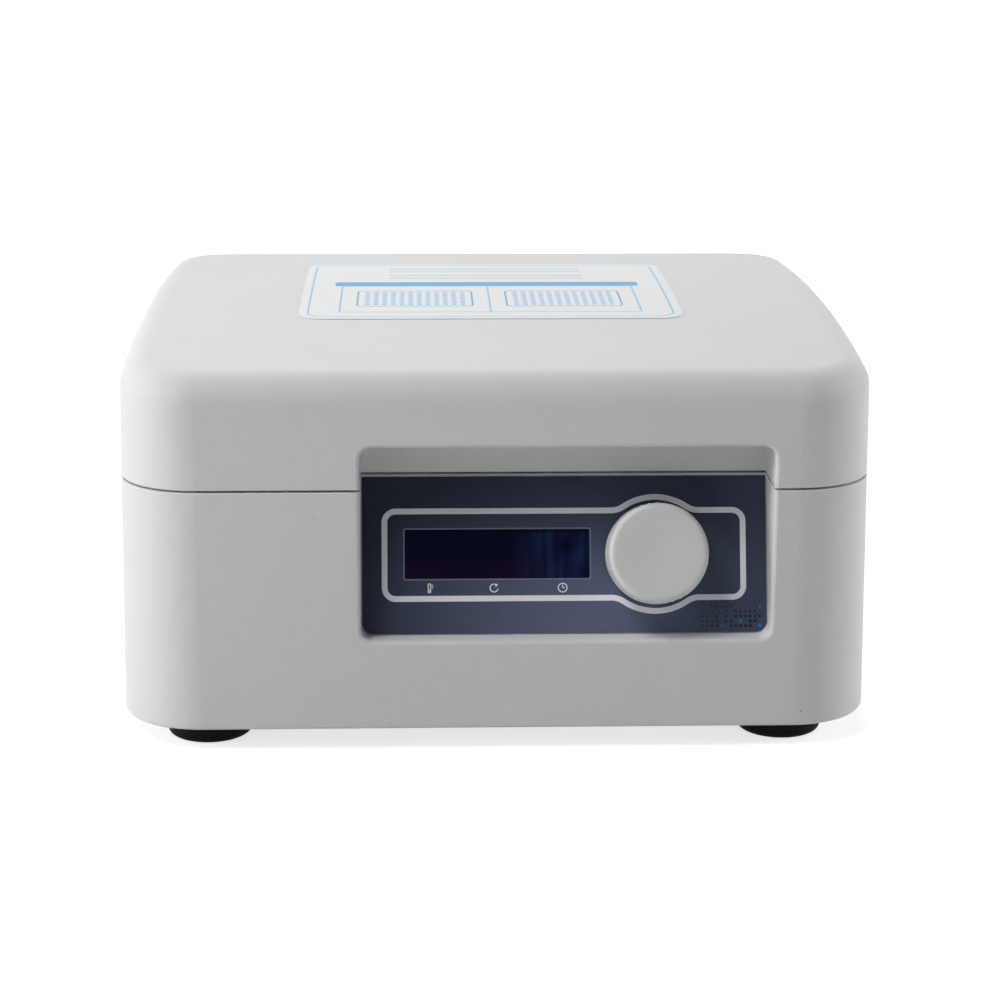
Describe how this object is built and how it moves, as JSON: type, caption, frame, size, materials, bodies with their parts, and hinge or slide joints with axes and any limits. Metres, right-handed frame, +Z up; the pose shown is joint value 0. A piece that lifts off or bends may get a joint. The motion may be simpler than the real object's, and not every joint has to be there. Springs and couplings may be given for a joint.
{
  "type": "thermo shaker",
  "caption": "Bench thermo shaker for microplates: pale case with hinged heated lid, tilted control panel with display and knob, and a heated orbital platform inside.",
  "frame": {"origin": "middle of the bounding box at the level the feet stand on", "axes": "+Z up, +X to the right of a person facing the control panel, -Y towards that person"},
  "size_m": [0.2784, 0.2688, 0.1452],
  "materials": {
    "pale_plastic": "fine satin texture",
    "knob_plastic": "satin",
    "foot_rubber": "matte",
    "painted_sheet": "satin",
    "plated_steel": "zinc plated",
    "screw_steel": "plain",
    "overlay_print": "fine texture",
    "window_acrylic": "polished",
    "display_black": "satin",
    "circuit_board": "solder mask",
    "supply_cage": "plain",
    "inner_plastic": "plain",
    "inlet_plastic": "satin",
    "blade_brass": "plain",
    "fuse_glass": "clear",
    "motor_can": "satin",
    "bearing_steel": "ground",
    "tub_plastic": "satin",
    "platform_alloy": "bead blasted, anodised",
    "heater_silicone": "matte",
    "foam": "closed-cell foam",
    "gasket_rubber": "matte",
    "label_film": "printed film",
    "clamp_plastic": "satin",
    "hinge_steel": "satin"
  },
  "bodies": {
    "base": {"base_shell": "pale_plastic", "bottom_plate": "painted_sheet", "foot_front_left": "foot_rubber", "foot_front_right": "foot_rubber", "foot_rear_left": "foot_rubber", "foot_rear_right": "foot_rubber", "m3_screws": "screw_steel", "m4_screws": "screw_steel", "board_screws": "screw_steel", "panel_overlay": "overlay_print", "display_window": "window_acrylic", "display_module": "display_black", "panel_board": "circuit_board", "encoder_housing": "plated_steel", "encoder_nut": "plated_steel", "main_board": "circuit_board", "power_supply": "supply_cage", "power_inlet": "inlet_plastic", "inlet_blades": "blade_brass", "drive_plate": "plated_steel", "pillars": "plated_steel", "drive_motor": "motor_can", "lower_bearings": "bearing_steel", "chamber_tub": "tub_plastic", "hinge_base_leaf_left": "hinge_steel", "hinge_base_leaf_right": "hinge_steel", "hinge_pins": "hinge_steel"},
    "lid": {"lid_shell": "pale_plastic", "lid_liner": "tub_plastic", "lid_heater_plate": "platform_alloy", "lid_heater": "heater_silicone", "lid_foam": "foam", "lid_gasket": "gasket_rubber", "lid_label": "label_film", "lid_screws": "screw_steel", "hinge_lid_leaf_left": "hinge_steel", "hinge_lid_leaf_right": "hinge_steel"},
    "encoder_slider": {"encoder_slider": "inner_plastic"},
    "control_knob": {"control_knob": "knob_plastic", "encoder_shaft": "plated_steel"},
    "fuse_drawer": {"fuse_drawer": "inlet_plastic", "fuse": "fuse_glass"},
    "power_rocker": {"power_rocker": "inlet_plastic"},
    "drive_crank": {"drive_crank": "bearing_steel", "counterweight": "blade_brass"},
    "platform": {"carrier_plate": "platform_alloy", "crank_bearing": "bearing_steel", "upper_bearings": "bearing_steel", "platform_foam": "foam", "platform_heater": "heater_silicone", "heating_block": "platform_alloy", "block_screws": "screw_steel", "clamp_springs_left": "screw_steel", "clamp_springs_right": "screw_steel"},
    "plate_clamp_left": {"plate_clamp_left": "clamp_plastic"},
    "plate_clamp_right": {"plate_clamp_right": "clamp_plastic"},
    "idler_front_left": {"idler_front_left": "bearing_steel"},
    "idler_front_right": {"idler_front_right": "bearing_steel"},
    "idler_rear_left": {"idler_rear_left": "bearing_steel"},
    "idler_rear_right": {"idler_rear_right": "bearing_steel"}
  },
  "joints": [
    {"name": "lid_hinge", "type": "hinge", "parent": "base", "child": "lid", "pos_m": [0, 0.13171, 0.0978], "axis": [-1, 0, 0], "range_deg": [0, 80]},
    {"name": "knob_push", "type": "slide", "parent": "base", "child": "encoder_slider", "axis": [0, 0.9505, -0.3107], "range_m": [0, 0.0005], "stiffness_N_per_m": 1500, "springref_m": -0.0006},
    {"name": "knob_turn", "type": "hinge", "parent": "encoder_slider", "child": "control_knob", "pos_m": [0.0579, -0.1124, 0.06936], "axis": [0, -0.9505, 0.3107], "continuous": true},
    {"name": "fuse_drawer_slide", "type": "slide", "parent": "base", "child": "fuse_drawer", "axis": [0, 1, 0], "range_m": [0, 0.018]},
    {"name": "power_rocker_tilt", "type": "hinge", "parent": "base", "child": "power_rocker", "pos_m": [-0.0595, 0.12995, 0.034], "axis": [-1, 0, 0], "range_deg": [0, 16]},
    {"name": "drive_spin", "type": "hinge", "parent": "base", "child": "drive_crank", "pos_m": [0, 0.011, 0.0585], "axis": [0, 0, 1], "continuous": true},
    {"name": "platform_orbit", "type": "hinge", "parent": "drive_crank", "child": "platform", "pos_m": [0.0015, 0.011, 0.0645], "axis": [0, 0, 1], "continuous": true},
    {"name": "clamp_left_slide", "type": "slide", "parent": "platform", "child": "plate_clamp_left", "axis": [0, -1, 0], "range_m": [0, 0.0035], "stiffness_N_per_m": 400, "springref_m": -0.003, "deforming": ["clamp_springs_left"]},
    {"name": "clamp_right_slide", "type": "slide", "parent": "platform", "child": "plate_clamp_right", "axis": [0, -1, 0], "range_m": [0, 0.0035], "stiffness_N_per_m": 400, "springref_m": -0.003, "deforming": ["clamp_springs_right"]},
    {"name": "idler_front_left_spin", "type": "hinge", "parent": "base", "child": "idler_front_left", "pos_m": [-0.07, -0.034, 0.0585], "axis": [0, 0, 1], "continuous": true},
    {"name": "idler_front_right_spin", "type": "hinge", "parent": "base", "child": "idler_front_right", "pos_m": [0.07, -0.034, 0.0585], "axis": [0, 0, 1], "continuous": true},
    {"name": "idler_rear_left_spin", "type": "hinge", "parent": "base", "child": "idler_rear_left", "pos_m": [-0.07, 0.056, 0.0585], "axis": [0, 0, 1], "continuous": true},
    {"name": "idler_rear_right_spin", "type": "hinge", "parent": "base", "child": "idler_rear_right", "pos_m": [0.07, 0.056, 0.0585], "axis": [0, 0, 1], "continuous": true}
  ],
  "couplings": [
    {"joint": "platform_orbit", "follows": "drive_spin", "ratio": -1},
    {"joint": "idler_front_left_spin", "follows": "drive_spin", "ratio": 1},
    {"joint": "idler_front_right_spin", "follows": "drive_spin", "ratio": 1},
    {"joint": "idler_rear_left_spin", "follows": "drive_spin", "ratio": 1},
    {"joint": "idler_rear_right_spin", "follows": "drive_spin", "ratio": 1}
  ]
}
